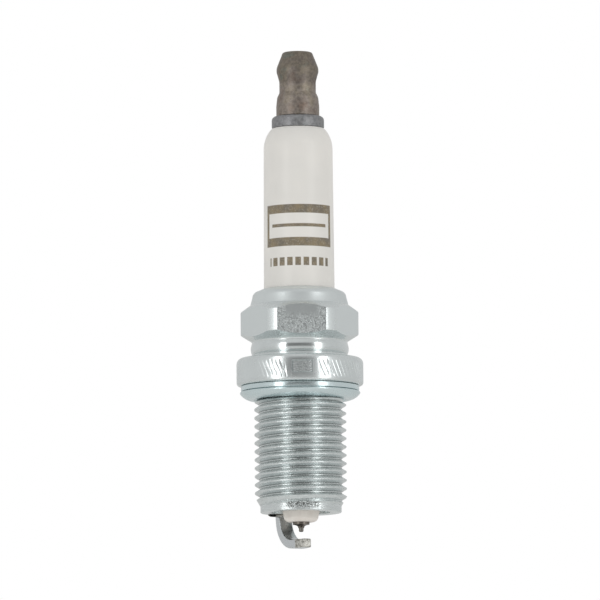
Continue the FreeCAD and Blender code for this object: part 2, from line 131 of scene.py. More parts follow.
class StudioSettings(bpy.types.PropertyGroup):
    distance: FloatProperty(
        name="Camera distance", description="Distance from the camera to the plug",
        default=1.2, min=0.3, max=5, unit="LENGTH")
    azimuth: FloatProperty(
        name="Camera azimuth", description="How far the camera stands to the left of the front flat's normal",
        default=math.radians(2.4), subtype="ANGLE")
    elevation: FloatProperty(
        name="Camera elevation", description="Elevation of the camera above the point that it looks at",
        default=math.radians(-6.2), subtype="ANGLE")
    roll: FloatProperty(
        name="Camera roll", description="Roll of the camera about its view",
        default=math.radians(0.47), subtype="ANGLE")
    surround: FloatProperty(
        name="Surround", description="Brightness of the studio's walls",
        default=0.64, min=0, max=4)
    strip_power: FloatProperty(
        name="Strip light power", description="Power of each of the two upright strip lights, in watts",
        default=0.62, min=0, max=100)


GROUPS = {
    "plug_threads": ThreadSizes,
    "plug_shell": ShellSizes,
    "plug_print": PrintSizes,
    "plug_colours": PlugColours,
    "plug_studio": StudioSettings,
}


# ---------------------------------------------------------------- modelling


def deselect():
    if bpy.context.object and bpy.context.object.mode != "OBJECT":
        bpy.ops.object.mode_set(mode="OBJECT")
    bpy.ops.object.select_all(action="DESELECT")


def select_only(piece):
    deselect()
    piece.select_set(True)
    bpy.context.view_layer.objects.active = piece


def named(name):
    """Name the object that was just added, and its mesh."""
    piece = bpy.context.active_object
    piece.name = name
    piece.data.name = name
    return piece


def arc(start, end, radius, steps=8, bulge=1):
    """Points of an arc after its start, up to and with its end. A bulge of 1 swells to the way's left."""
    start, end = Vector(start), Vector(end)
    chord = end - start
    left = Vector((-chord.y, chord.x)).normalized() * bulge
    centre = (start + end) / 2 - left * math.sqrt(max(radius ** 2 - (chord.length / 2) ** 2, 0))
    sweep = 2 * math.asin(min(chord.length / 2 / radius, 1)) * -bulge
    arm = start - centre
    return [tuple(centre + Matrix.Rotation(sweep * step / steps, 2) @ arm) for step in range(1, steps + 1)]


def softened(corners, steps=4):
    """An outline in which each corner (radius, height, rounding) gives way to a small arc."""
    points = []
    for place, corner in enumerate(corners):
        if len(corner) == 2:
            points.append(corner)
            continue
        here = Vector(corner[:2])
        before = (Vector(corners[place - 1][:2]) - here).normalized()
        after = (Vector(corners[(place + 1) % len(corners)][:2]) - here).normalized()
        half_angle = before.angle(after) / 2
        reach = corner[2] / math.tan(half_angle)
        start, end = here + before * reach, here + after * reach
        bulge = 1 if before.cross(after) > 0 else -1
        points.append(tuple(start))
        points += arc(start, end, corner[2], steps, bulge)
    return points


def outline_wire(name, outline):
    """Draw a closed outline of (radius, height) in millimetres in the XZ plane, and stay in edit mode."""
    deselect()
    points = [Vector((radius, 0, height)) * MM for radius, height in outline]
    bpy.ops.mesh.primitive_plane_add(size=MM, location=(0, 0, 0))
    piece = named(name)
    bpy.ops.object.mode_set(mode="EDIT")
    bpy.ops.mesh.merge(type="CENTER")
    bpy.ops.transform.translate(value=points[0])
    for start, end in zip(points, points[1:] + points[:1]):
        bpy.ops.mesh.extrude_vertices_move(TRANSFORM_OT_translate={"value": end - start})
    bpy.ops.mesh.select_all(action="SELECT")
    bpy.ops.mesh.remove_doubles(threshold=MERGE_DISTANCE)
    return piece


def turned(name, corners, steps=160):
    """Turn an outline of (radius, height) round Z."""
    piece = outline_wire(name, softened(corners))
    on_axis = bmesh.from_edit_mesh(piece.data)
    for edge in [e for e in on_axis.edges if all(abs(v.co.x) < MERGE_DISTANCE for v in e.verts)]:
        on_axis.edges.remove(edge)
    bpy.ops.mesh.select_all(action="SELECT")
    bpy.ops.mesh.spin(steps=steps, angle=FULL_TURN, center=(0, 0, 0), axis=UP)
    close_shell()
    return piece


def fill_ends():
    """Fill the open ends of the mesh that is being edited."""
    bpy.ops.mesh.select_all(action="DESELECT")
    bpy.ops.mesh.select_mode(type="EDGE")
    bpy.ops.mesh.select_non_manifold(extend=False, use_boundary=True, use_wire=False, use_multi_face=False,
                                     use_non_contiguous=False, use_verts=False)
    bpy.ops.mesh.fill()
    bpy.ops.mesh.select_mode(type="VERT")


def close_shell():
    """Merge a mesh's doubles in edit mode and turn its faces outwards."""
    bpy.ops.mesh.select_all(action="SELECT")
    bpy.ops.mesh.remove_doubles(threshold=MERGE_DISTANCE)
    bpy.ops.mesh.normals_make_consistent(inside=False)
    bpy.ops.object.mode_set(mode="OBJECT")


def apply_modifier(piece, kind, **settings):
    select_only(piece)
    bpy.ops.object.modifier_add(type=kind)
    modifier = piece.modifiers[-1]
    for name, value in settings.items():
        setattr(modifier, name, value)
    bpy.ops.object.modifier_apply(modifier=modifier.name)


def round_edges(piece, width_mm, segments, sharper_than):
    """Bevel the edges at which a piece turns by more than an angle in degrees."""
    apply_modifier(piece, "BEVEL", width=width_mm * MM, segments=segments, limit_method="ANGLE",
                   angle_limit=math.radians(sharper_than))


def combine(piece, tool, operation):
    """Apply a Boolean with the tool and delete the tool."""
    apply_modifier(piece, "BOOLEAN", operation=operation, object=tool, solver="MANIFOLD")
    select_only(tool)
    bpy.ops.object.delete()


def turn_about_axis(piece, angle):
    """Turn a piece about the plug's axis, with its place and its turn kept in its mesh."""
    select_only(piece)
    bpy.ops.object.transform_apply(location=True, rotation=True, scale=True)
    piece.rotation_euler.z = angle
    bpy.ops.object.transform_apply(location=True, rotation=True, scale=True)


def smooth(piece, angle=CREASE_ANGLE):
    select_only(piece)
    bpy.ops.object.shade_smooth_by_angle(angle=angle)


def thread_ridge(name, crest_radius, pitch, crest_height, low, high, steps=96):
    """One helical ridge of a rolled 60 degree thread, rising anticlockwise, as a closed solid.

    Its section is given in pitches as (depth below the crest, half width); it reaches below the root, so
    that it can be joined to the core.
    """
    flank = [(0.80, 0.488), (0.612, 0.488), (0.588, 0.452), (0.552, 0.410), (0.496, 0.368),
             (0.070, 0.122), (0.030, 0.090), (0.008, 0.048), (0.0, 0.0)]
    section = flank + [(depth, -half_width) for depth, half_width in reversed(flank[:-1])]
    first_turn = math.floor((low - crest_height) / pitch) - 1
    turns = math.ceil((high - low) / pitch) + 2
    start_height = crest_height + first_turn * pitch
    ridge = outline_wire(name, [
        (crest_radius - depth * pitch, start_height + rise * pitch) for depth, rise in section])
    bpy.ops.object.mode_set(mode="OBJECT")
    apply_modifier(ridge, "SCREW", axis="Z", angle=FULL_TURN, screw_offset=pitch * MM, iterations=turns,
                   steps=steps, render_steps=steps, use_merge_vertices=False)
    bpy.ops.object.mode_set(mode="EDIT")
    fill_ends()
    close_shell()
    return ridge


def root_radius():
    """The radius of the shell thread's root, in millimetres."""
    return SHELL_CREST_RADIUS - THREAD_DEPTH * bpy.context.scene.plug_threads.shell_pitch / MM


def finish_piece(piece, node, body, slot, *materials):
    """Give a modelled piece its finishes and let it stand for its CAD node."""
    piece.data.materials.clear()
    for material in materials:
        piece.data.materials.append(material)
    for face in piece.data.polygons:
        face.material_index = 0
    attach(piece, body)
    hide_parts(node)


# ---------------------------------------------------------------- materials


def new_material(name):
    """A material with an empty node tree, and that tree."""
    material = bpy.data.materials.new(name)
    material.use_nodes = True
    material.node_tree.nodes.clear()
    return material, material.node_tree


def add(tree, kind, links=None, **settings):
    """Add a node with its settings, and set or link its inputs."""
    node = tree.nodes.new(kind)
    for name, value in settings.items():
        setattr(node, name, value)
    for socket, value in (links or {}).items():
        if isinstance(value, bpy.types.NodeSocket):
            tree.links.new(value, node.inputs[socket])
        else:
            node.inputs[socket].default_value = value
    return node


def surface(tree, **inputs):
    """The Principled shader and its output; inputs are named with underscores for spaces."""
    sockets = {name.replace("_", " "): value for name, value in inputs.items()}
    shader = add(tree, "ShaderNodeBsdfPrincipled", sockets)
    add(tree, "ShaderNodeOutputMaterial", {"Surface": shader.outputs[0]})


def object_point(tree, scale=(1, 1, 1)):
    """The shaded point in the object's own coordinates, scaled along each axis."""
    point = add(tree, "ShaderNodeTexCoord").outputs["Object"]
    return add(tree, "ShaderNodeMapping", {"Vector": point, "Scale": scale}).outputs[0]


def ramp(tree, value, *stops):
    """A colour ramp from (position, colour) stops."""
    node = add(tree, "ShaderNodeValToRGB", {"Fac": value})
    elements = node.color_ramp.elements
    while len(elements) < len(stops):
        elements.new(0.5)
    for element, (position, shade) in zip(elements, stops):
        element.position = position
        element.color = shade
    return node.outputs["Color"]


def mix(tree, share, first, second):
    """A colour between two others, given the share of the second."""
    return add(tree, "ShaderNodeMix", {"Factor": share, 6: first, 7: second}, data_type="RGBA").outputs[2]


def chosen(name):
    """One of the colours that a user may change."""
    return tuple(getattr(bpy.context.scene.plug_colours, name))


def dimmed(shade, share):
    """A colour with its light cut to a share."""
    return tuple(channel * share for channel in shade[:3]) + (1.0,)


def axes_of(tree, point):
    return add(tree, "ShaderNodeSeparateXYZ", {0: point}).outputs


def spread(tree, value, low, high, to_low=0.0, to_high=1.0):
    """Map a value smoothly from one range to another."""
    return add(tree, "ShaderNodeMapRange", {
        "Value": value, "From Min": low, "From Max": high, "To Min": to_low, "To Max": to_high,
    }, interpolation_type="SMOOTHSTEP").outputs["Result"]


def noise(tree, per_mm, detail=3.0, rough=0.5, stretch=(1, 1, 1)):
    """Noise in the object's own coordinates, with about so many features to a millimetre."""
    return add(tree, "ShaderNodeTexNoise", {
        "Vector": object_point(tree, stretch), "Scale": per_mm / MM, "Detail": detail, "Roughness": rough,
    }).outputs["Fac"]


def maths(tree, operation, first, second=0.0):
    return add(tree, "ShaderNodeMath", {0: first, 1: second}, operation=operation).outputs[0]


def times(tree, first, second):
    return maths(tree, "MULTIPLY", first, second)


def bump(tree, height, strength, depth_mm):
    """A bump of the given depth in millimetres."""
    return add(tree, "ShaderNodeBump", {
        "Height": height, "Strength": strength, "Distance": depth_mm * MM}).outputs[0]


def zinc_plating():
    """Bright blue-passivated zinc on turned steel: cool, smooth and mirror-like, with faint turning rings."""
    material, tree = new_material("zinc_plating")
    rings = noise(tree, 0.8, 2, stretch=(0.15, 0.15, 6))
    cloud = noise(tree, 0.35, 4)
    base = chosen("plating")
    tint = ramp(tree, cloud, (0.3, base), (0.7, dimmed(base, 0.93)))
    height = axes_of(tree, object_point(tree))["Z"]
    on_hexagon = spread(tree, height, 6.4 * MM, 6.6 * MM, 0.0, 0.09)
    on_lip = spread(tree, height, 11.9 * MM, 12.3 * MM, 0.0, 0.13)
    on_flange = spread(tree, height, 4.2 * MM, 4.4 * MM, 0.09, 0.0)
    satin = maths(tree, "ADD", maths(tree, "ADD", on_hexagon, on_lip), on_flange)
    polish = spread(tree, cloud, 0.3, 0.75, 0.14, 0.22)
    surface(tree, Base_Color=tint, Metallic=1.0, Roughness=maths(tree, "ADD", polish, satin),
            Normal=bump(tree, rings, 0.25, 0.006))
    return material


def zinc_on_forging():
    """Zinc over cold-forged hexagon flats: the same plating, dulled and pitted by the forging die.

    The front flat is worn at its foot and towards its corners; the others are nearly clean.
    """
    material, tree = new_material("zinc_on_forging")
    axes = axes_of(tree, object_point(tree))
    low_on_flat = spread(tree, axes["Z"], 8.6 * MM, 10.8 * MM, 1.0, 0.08)
    near_corner = spread(tree, maths(tree, "ABSOLUTE", axes["X"]), 1.8 * MM, 3.2 * MM)
    front_flat = spread(tree, axes["Y"], -7.9 * MM, -7.4 * MM, 1.0, 0.08)
    wear = times(tree, maths(tree, "MAXIMUM", low_on_flat, near_corner), front_flat)
    folds = noise(tree, 1.5, 4, 0.65)
    from_fold = maths(tree, "ABSOLUTE", maths(tree, "SUBTRACT", folds, 0.5))
    pits = times(tree, spread(tree, from_fold, 0.02, 0.075, 1.0, 0.0), wear)
    grain = noise(tree, 4, 3, 0.6)
    base = chosen("plating")
    tint = ramp(tree, pits, (0.1, base), (0.9, dimmed(base, 0.62)))
    relief = maths(tree, "SUBTRACT", times(tree, grain, times(tree, wear, 0.5)), pits)
    surface(tree, Base_Color=tint, Metallic=1.0, Roughness=spread(tree, grain, 0.3, 0.7, 0.29, 0.37),
            Normal=bump(tree, relief, 0.55, 0.035))
    return material


def zinc_on_thread():
    """Zinc over the rolled thread: satin and streaked, with painted shade in a thin band by each root, and
    flecked near the end.
    """
    material, tree = new_material("zinc_on_thread")
    streaks = noise(tree, 0.9, 4, 0.65, stretch=(1, 1, 9))
    axes = axes_of(tree, object_point(tree))
    below_run_out = spread(tree, axes["Z"], -17.9 * MM, -17.6 * MM, 1.0, 0.0)
    above_end = spread(tree, axes["Z"], -18.8 * MM, -18.5 * MM)
    at_front = spread(tree, axes["Y"], -5.75 * MM, -5.4 * MM, 1.0, 0.0)
    marked = times(tree, times(tree, below_run_out, above_end), at_front)
    flecks = times(tree, spread(tree, noise(tree, 4.5, 4, 0.7), 0.44, 0.6), marked)
    from_axis = add(tree, "ShaderNodeVectorMath", {0: object_point(tree, (1, 1, 0))}, operation="LENGTH")
    from_root = maths(tree, "SUBTRACT", from_axis.outputs["Value"], root_radius() * MM)
    # painted shade: a thin band just above the root is mixed towards grey, standing for the shade between the
    # flanks
    painted_root_shade = times(tree, spread(tree, from_root, 0.01 * MM, 0.05 * MM),
                       spread(tree, from_root, 0.09 * MM, 0.18 * MM, 0.5, 0.0))
    on_thread = spread(tree, axes["Z"], -17.4 * MM, -17.1 * MM)
    # the flecks near the end are real marks; the band at the roots is painted shade; both are mixed to the grey
    # 5F625F
    flecks_and_root_shade = maths(tree, "MAXIMUM", flecks, times(tree, painted_root_shade, on_thread))
    base = chosen("plating")
    plated = ramp(tree, streaks, (0.36, base), (0.62, dimmed(base, 0.86)))
    surface(tree, Base_Color=mix(tree, flecks_and_root_shade, plated, colour("5F625F")), Metallic=1.0,
            Roughness=spread(tree, streaks, 0.3, 0.7, 0.2, 0.3),
            Normal=bump(tree, maths(tree, "SUBTRACT", streaks, flecks), 0.8, 0.05))
    return material


def gasket_plating():
    """Smooth plated sheet, folded and rolled: bluish and a little softer than the shell."""
    material, tree = new_material("gasket_plating")
    streaks = noise(tree, 0.7, 3, stretch=(1, 1, 5))
    surface(tree, Base_Color=chosen("gasket"), Metallic=1.0,
            Roughness=spread(tree, streaks, 0.3, 0.7, 0.18, 0.3), Normal=bump(tree, streaks, 0.2, 0.01))
    return material


def browned_steel():
    """Terminal steel that heat treatment left brown: dull, blotched and speckled, cooler on the collar."""
    material, tree = new_material("browned_steel")
    blotch = noise(tree, 0.32, 4, 0.6)
    speckle = noise(tree, 2.4, 4, 0.7)
    brown = ramp(tree, blotch, (0.3, colour("75675D")), (0.47, chosen("terminal")),
                 (0.58, colour("8B8275")), (0.7, colour("7C7E76")))
    height = axes_of(tree, object_point(tree))["Z"]
    on_collar = spread(tree, height, 40.45 * MM, 40.55 * MM, 0.85, 0.0)
    tone = mix(tree, on_collar, brown, colour("85878A"))
    below_head = spread(tree, height, 44.5 * MM, 46 * MM, 1.28, 0.92)
    brightness = times(tree, spread(tree, speckle, 0.35, 0.65, 0.78, 1.18), below_head)
    tint = add(tree, "ShaderNodeVectorMath", {0: tone, 1: brightness}, operation="MULTIPLY").outputs[0]
    surface(tree, Base_Color=tint, Metallic=0.85, Roughness=spread(tree, speckle, 0.3, 0.7, 0.4, 0.54),
            Normal=bump(tree, speckle, 0.5, 0.02))
    return material


def printed_mark(tree):
    """Where ink lies on the barrel: a framed panel with one rule in it, and a dashed row below."""
    barrel_radius, sideways_shift, edge = 5.24 * MM, 0.19 * MM, 0.04 * MM
    frame_side, frame_band, rule_margin, rule_half = 0.58 * MM, 1.3 * MM, 1.3 * MM, 0.24 * MM
    row_drop, row_half, row_reach = 2.3 * MM, 0.62 * MM, 4.96 * MM
    dash_spacing, dash_half, dashes_start = 0.62 * MM, 0.42 * MM, 20 * MM
    sizes = bpy.context.scene.plug_print
    half_width, half_height = sizes.width / 2, sizes.height / 2
    axes = axes_of(tree, object_point(tree))
    angle = maths(tree, "ARCTAN2", axes["X"], times(tree, axes["Y"], -1.0))
    sideways = maths(tree, "ADD", times(tree, angle, barrel_radius), sideways_shift)
    height = maths(tree, "SUBTRACT", axes["Z"], sizes.middle)
    across, above = maths(tree, "ABSOLUTE", sideways), maths(tree, "ABSOLUTE", height)

    def inside(value, limit):
        return spread(tree, value, limit - edge, limit + edge, 1.0, 0.0)

    panel = times(tree, inside(across, half_width), inside(above, half_height))
    window = times(tree, inside(across, half_width - frame_side), inside(above, half_height - frame_band))
    rule = times(tree, inside(across, half_width - rule_margin), inside(above, rule_half))
    dash = maths(tree, "PINGPONG", maths(tree, "ADD", sideways, dashes_start), dash_spacing)
    from_row = maths(tree, "ABSOLUTE", maths(tree, "ADD", height, half_height + row_drop))
    dashes = times(tree, inside(from_row, row_half), inside(dash, dash_half))
    row = times(tree, inside(across, row_reach), dashes)
    return maths(tree, "MAXIMUM", maths(tree, "SUBTRACT", panel, window), maths(tree, "MAXIMUM", rule, row))


def glazed_alumina():
    """White alumina under a clear fired glaze, with a mark fired on in grey-gold ink."""
    material, tree = new_material("glazed_alumina")
    speckle = spread(tree, noise(tree, 5, 4, 0.7), 0.3, 0.5, 0.7, 1.0)
    inked = times(tree, printed_mark(tree), speckle)
    ink = ramp(tree, noise(tree, 0.8, 4), (0.35, colour("7B7365")), (0.65, chosen("print_ink")))
    glaze = ramp(tree, noise(tree, 0.12, 2), (0.3, chosen("glaze")), (0.7, colour("EDEBE6")))
    orange_peel = noise(tree, 0.5, 2)
    surface(tree, Base_Color=mix(tree, inked, glaze, ink), Roughness=spread(tree, inked, 0.0, 1.0, 0.34, 0.5),
            Specular_IOR_Level=0.35, Normal=bump(tree, orange_peel, 0.08, 0.02))
    return material


def bare_alumina():
    """Unglazed alumina at the firing end: matt, faintly pink and fine-grained."""
    material, tree = new_material("bare_alumina")
    grain = noise(tree, 6, 4, 0.6)
    tone = ramp(tree, noise(tree, 0.5, 3), (0.3, colour("F6F1EA")), (0.7, colour("EBE3DA")))
    surface(tree, Base_Color=tone, Roughness=0.62, Normal=bump(tree, grain, 0.3, 0.01))
    return material


def rolled_nickel():
    """Drawn and rolled nickel-alloy strap: satin, with fine lines along its length."""
    material, tree = new_material("rolled_nickel")
    lines = noise(tree, 4, 3, stretch=(1, 1, 0.12))
    cloud = noise(tree, 0.9, 3)
    surface(tree, Base_Color=chosen("nickel"), Metallic=1.0,
            Roughness=spread(tree, cloud, 0.3, 0.7, 0.2, 0.32), Normal=bump(tree, lines, 0.5, 0.02))
    return material


def sheared_nickel():
    """The strap's cut end: torn and rough, with bright and dull patches."""
    material, tree = new_material("sheared_nickel")
    tear = noise(tree, 2.0, 5, 0.7)
    tone = ramp(tree, tear, (0.4, colour("8E8D86")), (0.55, colour("DAD9D2")))
    surface(tree, Base_Color=tone, Metallic=1.0, Roughness=0.34, Normal=bump(tree, tear, 1.0, 0.12))
    return material


def electrode_nickel():
    """Turned nickel-alloy electrode, in a darker, browner grey than the strap's nickel."""
    material, tree = new_material("electrode_nickel")
    rings = noise(tree, 3, 2, stretch=(0.3, 0.3, 6))
    tone = ramp(tree, noise(tree, 1.5, 3), (0.3, colour("5E5954")), (0.7, colour("857E77")))
    surface(tree, Base_Color=tone, Metallic=1.0, Roughness=0.3, Normal=bump(tree, rings, 0.5, 0.02))
    return material


def weld_metal():
    """Resistance-weld flash: melted, patchy grey in tone and lumpy."""
    material, tree = new_material("weld_metal")
    lumps = noise(tree, 1.8, 3)
    tone = ramp(tree, lumps, (0.35, colour("86837D")), (0.65, colour("CFCDC8")))
    surface(tree, Base_Color=tone, Metallic=1.0, Roughness=0.34, Normal=bump(tree, lumps, 0.3, 0.012))
    return material


def ground_iridium():
    """Fine-ground iridium wire: a hard, darker grey than nickel."""
    material, tree = new_material("ground_iridium")
    rings = noise(tree, 5, 2, stretch=(0.3, 0.3, 5))
    surface(tree, Base_Color=colour("7C7974"), Metallic=1.0, Roughness=0.28,
            Normal=bump(tree, rings, 0.3, 0.008))
    return material


def packing_wire():
    """Plain drawn steel wire and washer stock."""
    material, tree = new_material("packing_wire")
    scuffs = noise(tree, 2, 3, stretch=(1, 1, 4))
    surface(tree, Base_Color=colour("A7A8A6"), Metallic=1.0, Roughness=0.4,
            Normal=bump(tree, scuffs, 0.3, 0.01))
    return material


def pressed_talc():
    """Talc powder pressed hard between the packing rings: chalky and pale."""
    material, tree = new_material("pressed_talc")
    grains = noise(tree, 4, 5, 0.7)
    tone = ramp(tree, grains, (0.3, colour("DAD6CB")), (0.7, colour("ECE9E2")))
    surface(tree, Base_Color=tone, Roughness=0.9, Normal=bump(tree, grains, 0.6, 0.03))
    return material


def copper_glass():
    """Glass fused with copper powder: brown, with metallic grains."""
    material, tree = new_material("copper_glass")
    grains = noise(tree, 5, 4, 0.7)
    tone = ramp(tree, grains, (0.4, colour("5A4334")), (0.6, colour("A86F4C")))
    surface(tree, Base_Color=tone, Metallic=spread(tree, grains, 0.45, 0.6), Roughness=0.45)
    return material


def carbon_glass():
    """The resistor's fused carbon, zirconia and glass: near black, with pale grains."""
    material, tree = new_material("carbon_glass")
    grains = noise(tree, 6, 4, 0.7)
    tone = ramp(tree, grains, (0.5, colour("26262A")), (0.7, colour("6A6A6C")))
    surface(tree, Base_Color=tone, Roughness=0.6)
    return material


def drawn_copper():
    """The electrode's drawn copper core."""
    material, tree = new_material("drawn_copper")
    lines = noise(tree, 4, 3, stretch=(1, 1, 0.1))
    surface(tree, Base_Color=colour("C98A66"), Metallic=1.0, Roughness=0.3,
            Normal=bump(tree, lines, 0.3, 0.01))
    return material


# ---------------------------------------------------------------- pieces


class TerminalNut(bpy.types.Operator):
    """Turn the terminal nut, with its waisted head, plain barrel and blind stud hole"""

    bl_idname = "plug.terminal_nut"
    bl_label = "Terminal nut"

    def execute(self, context):
        top, foot = top_of("terminal_nut"), bottom_of("terminal_nut")
        nut = turned("terminal_nut_piece", [
            (0, top), (2.2, top, 0.4), (2.42, 49.6, 1.5), (3.0, 48.15),
            *arc((3.0, 48.15), (3.0, 46.75), 1.82, 10, 1),
            (2.73, 45.75, 1.4), (2.73, 44.1, 0.5), (3.08, 43.35, 0.8), (3.22, 42.0, 2.0),
            (3.22, foot, 0.12), (2.05, foot, 0.1), (2.05, 47.6), (0, 48.8),
        ])
        finish_piece(nut, "terminal_nut", "terminal_nut", "terminal_steel", browned_steel())
        smooth(nut)
        return {"FINISHED"}


class TerminalStud(bpy.types.Operator):
    """Turn the stud, with its collar and ribbed foot, and roll the M4 thread that the nut screws onto"""

    bl_idname = "plug.terminal_stud"
    bl_label = "Terminal stud"

    def execute(self, context):
        top, seat, foot = top_of("terminal_stud"), top_of("insulator"), bottom_of("terminal_stud")
        pitch = context.scene.plug_threads.stud_pitch / MM
        collar_top = bottom_of("terminal_nut")
        crest, shank = 2.0, 1.85
        core = crest - THREAD_DEPTH * pitch
        ribs_top, rib_spacing, rib_height = 8.4, 0.9, 0.45
        outline = [
            (0, top), (core - 0.15, top), (core, top - 0.15), (core, collar_top),
            (3.92, collar_top, 0.6), (3.92, seat, 0.25), (shank, seat), (shank, ribs_top),
        ]
        for rib in range(3):
            rib_top = ribs_top - rib_spacing * rib
            outline += [(1.94, rib_top), (1.94, rib_top - rib_height),
                        (1.5, rib_top - rib_height), (1.5, rib_top - rib_spacing)]
        stud = turned("terminal_stud_piece", [*outline, (0, foot)], 128)
        thread = thread_ridge("stud_thread", crest, pitch, top, collar_top, top, 64)
        envelope = turned("stud_envelope", [
            (0, top), (core, top), (crest, top - 0.45), (crest, collar_top + 0.6),
            (core - 0.05, collar_top + 0.2), (0, collar_top + 0.2),
        ], 128)
        combine(thread, envelope, "INTERSECT")
        combine(stud, thread, "UNION")
        finish_piece(stud, "terminal_stud", "plug", "terminal_steel", bpy.data.materials["browned_steel"])
        smooth(stud, math.radians(30))
        return {"FINISHED"}


class Insulator(bpy.types.Operator):
    """Turn the insulator: domed glazed barrel, hidden shoulder and step, and the bare nose"""

    bl_idname = "plug.insulator"
    bl_label = "Insulator"

    def execute(self, context):
        top, tip = top_of("insulator"), bottom_of("insulator")
        glaze_end = 8.0
        insulator = turned("insulator_piece", [
            (2.0, top), (3.9, top, 0.12), *arc((4.03, top - 0.1), (5.15, 35.6), 4.62, 14, 1),
            (5.28, 14.6), (5.28, glaze_end), (5.28, 7.82), (5.9, 7.2), (5.9, 1.8), (4.62, 0.52),
            (4.62, -8.9), (3.8, -9.72), (2.85, -18.5), (2.6, -19.55),
            *arc((2.6, -19.55), (1.75, tip), 0.86, 8, 1), (1.3, tip, 0.06), (1.3, -8.3), (2.0, -7.6),
        ])
        finish_piece(insulator, "insulator", "plug", "glazed_alumina", glazed_alumina(), bare_alumina())
        for face in insulator.data.polygons:
            face.material_index = 0 if face.center.z > glaze_end * MM else 1
        smooth(insulator)
        return {"FINISHED"}


def milled_hexagon(shell, across_flats, low, high):
    """Mill six flats between two heights, leaving the corners that the turning left."""
    middle, depth = (low + high) / 2 * MM, (high - low) * MM
    deselect()
    bpy.ops.mesh.primitive_cylinder_add(vertices=96, radius=12 * MM, depth=depth, location=(0, 0, middle))
    cutter = named("hexagon_cutter")
    deselect()
    corner = across_flats / 2 / math.cos(math.pi / 6)
    bpy.ops.mesh.primitive_cylinder_add(vertices=6, radius=corner, depth=2 * depth, location=(0, 0, middle))
    hexagon = named("hexagon")
    turn_about_axis(hexagon, math.pi / 6)
    turn_about_axis(cutter, 0)
    combine(cutter, hexagon, "DIFFERENCE")
    combine(shell, cutter, "DIFFERENCE")


def soften_upright_edges(shell, low, high):
    """Bevel the hexagon's upright edges, which the forging leaves rounded."""
    select_only(shell)
    bpy.ops.object.mode_set(mode="EDIT")
    bpy.ops.mesh.select_mode(type="EDGE")
    bpy.ops.mesh.select_all(action="DESELECT")
    mesh = bmesh.from_edit_mesh(shell.data)
    for edge in mesh.edges:
        first, second = (vertex.co for vertex in edge.verts)
        upright = (first.xy - second.xy).length < 0.01 * MM and abs(first.z - second.z) > 1.5 * MM
        between = low * MM < (first.z + second.z) / 2 < high * MM and first.xy.length > 8.3 * MM
        if upright and between and edge.calc_face_angle(0) > math.radians(12):
            edge.select = True
    bmesh.update_edit_mesh(shell.data)
    bpy.ops.mesh.bevel(offset=0.4 * MM, offset_type="OFFSET", segments=4, affect="EDGES")
    bpy.ops.mesh.select_mode(type="VERT")
    bpy.ops.object.mode_set(mode="OBJECT")


def rolled_serrations(shell, sizes, low, high):
    """Roll slanted grooves round the flange's rim, shallower towards -X, and leave a gap for the panel."""
    rim_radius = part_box("shell")[1][0]
    groove_radius = 0.17 * MM
    deselect()
    bpy.ops.mesh.primitive_cylinder_add(
        vertices=12, radius=groove_radius, depth=(high - low) * MM / math.cos(sizes.serration_slant),
        location=(0, 0, 0), rotation=(0, -sizes.serration_slant, 0))
    groove = named("serration")
    groove.location = (0, -(rim_radius + groove_radius - sizes.serration_depth), (low + high) / 2 * MM)
    turn_about_axis(groove, 0)
    grooves = []
    for place in range(sizes.serrations):
        angle = FULL_TURN * place / sizes.serrations
        if min(angle, FULL_TURN - angle) < math.radians(14):
            continue
        select_only(groove)
        bpy.ops.object.duplicate()
        copy = bpy.context.active_object
        copy.location.y = -(0.5 - 0.5 * math.sin(angle)) * 0.55 * sizes.serration_depth
        turn_about_axis(copy, angle)
        grooves.append(copy)
    select_only(groove)
    bpy.ops.object.delete()
    for copy in grooves:
        copy.select_set(True)
    bpy.context.view_layer.objects.active = grooves[0]
    bpy.ops.object.join()
    combine(shell, grooves[0], "DIFFERENCE")


def stamped_panel(shell, low, high, half_angle, depth):
    """Stamp the outline of a blank panel into the rim, above the middle of the hexagon's front flat."""
    rim_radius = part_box("shell")[1][0] / MM
    spare = 0.12
    for height in (low, high):
        line = outline_wire("panel_line", [
            (rim_radius - depth, height), (rim_radius + spare, height + depth + spare),
            (rim_radius + spare, height - depth - spare)])
        bpy.ops.mesh.spin(steps=24, angle=2 * half_angle, center=(0, 0, 0), axis=UP)
        fill_ends()
        close_shell()
        turn_about_axis(line, half_angle - math.pi / 2)
        combine(shell, line, "DIFFERENCE")
    for side in (-1, 1):
        deselect()
        bpy.ops.mesh.primitive_cylinder_add(
            vertices=4, radius=(depth + spare) * MM, depth=(high - low) * MM,
            location=(0, -(rim_radius + spare) * MM, (low + high) / 2 * MM))
        line = named("panel_line")
        turn_about_axis(line, side * half_angle)
        combine(shell, line, "DIFFERENCE")


